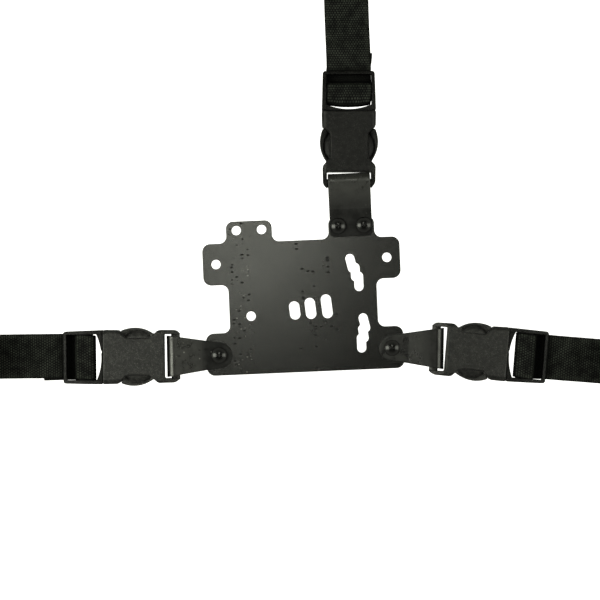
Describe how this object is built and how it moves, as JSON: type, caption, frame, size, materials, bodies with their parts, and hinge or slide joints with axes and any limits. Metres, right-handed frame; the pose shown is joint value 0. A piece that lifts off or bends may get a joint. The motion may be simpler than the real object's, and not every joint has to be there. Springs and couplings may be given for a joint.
{
  "type": "harness mounting plate with buckled straps",
  "caption": "Flat slotted chest plate of a harness, with folded tabs that hold side-release buckles and rolled webbing straps.",
  "frame": {"origin": "on the plate's back face, midway between the two side ear holes", "axes": "+Z out of the plate's front face, +Y towards the shoulder strap, +X towards the strap on the right as seen from the front"},
  "size_m": [0.4109, 0.2706, 0.0382],
  "materials": {
    "plate_plastic": "dark grey extruded sheet, fine lengthwise streaks, satin",
    "tab_plastic": "dark flexible sheet, satin, stretched pale at the bend",
    "buckle_plastic": "fine spark-eroded moulding texture",
    "webbing": "woven polypropylene, ribbed across the width",
    "tie_fabric": "soft knitted band",
    "screw_metal": "black oxide, semi-gloss",
    "post_metal": "black oxide, semi-gloss"
  },
  "bodies": {
    "plate": {"mounting_plate": "plate_plastic", "top_tab": "tab_plastic", "top_screws": "screw_metal", "top_posts": "post_metal", "left_screw": "screw_metal", "left_post": "post_metal", "right_screw": "screw_metal", "right_post": "post_metal"},
    "left_tab": {"left_tab": "tab_plastic"},
    "left_buckle_socket": {"left_buckle_socket": "buckle_plastic"},
    "left_buckle_plug": {"left_buckle_plug": "buckle_plastic", "left_strap": "webbing", "left_strap_roll": "webbing", "left_roll_tie": "tie_fabric"},
    "left_buckle_lower_latch": {"left_buckle_lower_latch": "buckle_plastic"},
    "left_buckle_upper_latch": {"left_buckle_upper_latch": "buckle_plastic"},
    "right_tab": {"right_tab": "tab_plastic"},
    "right_buckle_socket": {"right_buckle_socket": "buckle_plastic"},
    "right_buckle_plug": {"right_buckle_plug": "buckle_plastic", "right_strap": "webbing", "right_strap_roll": "webbing", "right_roll_tie": "tie_fabric"},
    "right_buckle_upper_latch": {"right_buckle_upper_latch": "buckle_plastic"},
    "right_buckle_lower_latch": {"right_buckle_lower_latch": "buckle_plastic"},
    "top_buckle_socket": {"top_buckle_socket": "buckle_plastic"},
    "top_buckle_plug": {"top_buckle_plug": "buckle_plastic", "top_strap": "webbing", "top_strap_roll": "webbing", "top_roll_tie": "tie_fabric"},
    "top_buckle_left_latch": {"top_buckle_left_latch": "buckle_plastic"},
    "top_buckle_right_latch": {"top_buckle_right_latch": "buckle_plastic"}
  },
  "joints": [
    {"name": "left_tab_swivel", "type": "hinge", "parent": "plate", "child": "left_tab", "pos_m": [-0.0489, -0.0516, 0.0012], "axis": [0, 0, 1], "range_deg": [-45, 45]},
    {"name": "left_buckle_pivot", "type": "hinge", "parent": "left_tab", "child": "left_buckle_socket", "pos_m": [-0.07369, -0.05106, 0.0012], "axis": [0.0297, 0.9996, 0], "range_deg": [-60, 60]},
    {"name": "left_buckle_release", "type": "slide", "parent": "left_buckle_socket", "child": "left_buckle_plug", "axis": [-0.9996, 0.0297, 0], "range_m": [0, 0.035], "deforming": ["left_buckle_lower_latch", "left_buckle_upper_latch"]},
    {"name": "left_lower_latch_squeeze", "type": "hinge", "parent": "left_buckle_plug", "child": "left_buckle_lower_latch", "pos_m": [-0.11179, -0.06033, 0.00205], "axis": [0, 0, 1], "range_deg": [0, 15], "stiffness_Nm_per_rad": 0.5},
    {"name": "left_upper_latch_squeeze", "type": "hinge", "parent": "left_buckle_plug", "child": "left_buckle_upper_latch", "pos_m": [-0.11117, -0.03954, 0.00205], "axis": [0, 0, -1], "range_deg": [0, 15], "stiffness_Nm_per_rad": 0.5},
    {"name": "right_tab_swivel", "type": "hinge", "parent": "plate", "child": "right_tab", "pos_m": [0.0493, -0.0515, 0.0012], "axis": [0, 0, 1], "range_deg": [-45, 45]},
    {"name": "right_buckle_pivot", "type": "hinge", "parent": "right_tab", "child": "right_buckle_socket", "pos_m": [0.07376, -0.05291, 0.0012], "axis": [-0.1236, -0.9923, 0], "range_deg": [-60, 60]},
    {"name": "right_buckle_release", "type": "slide", "parent": "right_buckle_socket", "child": "right_buckle_plug", "axis": [0.9923, -0.1236, 0], "range_m": [0, 0.035], "deforming": ["right_buckle_upper_latch", "right_buckle_lower_latch"]},
    {"name": "right_upper_latch_squeeze", "type": "hinge", "parent": "right_buckle_plug", "child": "right_buckle_upper_latch", "pos_m": [0.11256, -0.04726, 0.00205], "axis": [0, 0, 1], "range_deg": [0, 15], "stiffness_Nm_per_rad": 0.5},
    {"name": "right_lower_latch_squeeze", "type": "hinge", "parent": "right_buckle_plug", "child": "right_buckle_lower_latch", "pos_m": [0.10998, -0.0679, 0.00205], "axis": [0, 0, -1], "range_deg": [0, 15], "stiffness_Nm_per_rad": 0.5},
    {"name": "top_buckle_pivot", "type": "hinge", "parent": "plate", "child": "top_buckle_socket", "pos_m": [0.02892, 0.0429, 0.0012], "axis": [0.9993, -0.0384, 0], "range_deg": [-60, 60]},
    {"name": "top_buckle_release", "type": "slide", "parent": "top_buckle_socket", "child": "top_buckle_plug", "axis": [0.0384, 0.9993, 0], "range_m": [0, 0.035], "deforming": ["top_buckle_left_latch", "top_buckle_right_latch"]},
    {"name": "top_left_latch_squeeze", "type": "hinge", "parent": "top_buckle_plug", "child": "top_buckle_left_latch", "pos_m": [0.01997, 0.08107, 0.00205], "axis": [0, 0, 1], "range_deg": [0, 15], "stiffness_Nm_per_rad": 0.5},
    {"name": "top_right_latch_squeeze", "type": "hinge", "parent": "top_buckle_plug", "child": "top_buckle_right_latch", "pos_m": [0.04076, 0.08027, 0.00205], "axis": [0, 0, -1], "range_deg": [0, 15], "stiffness_Nm_per_rad": 0.5}
  ]
}
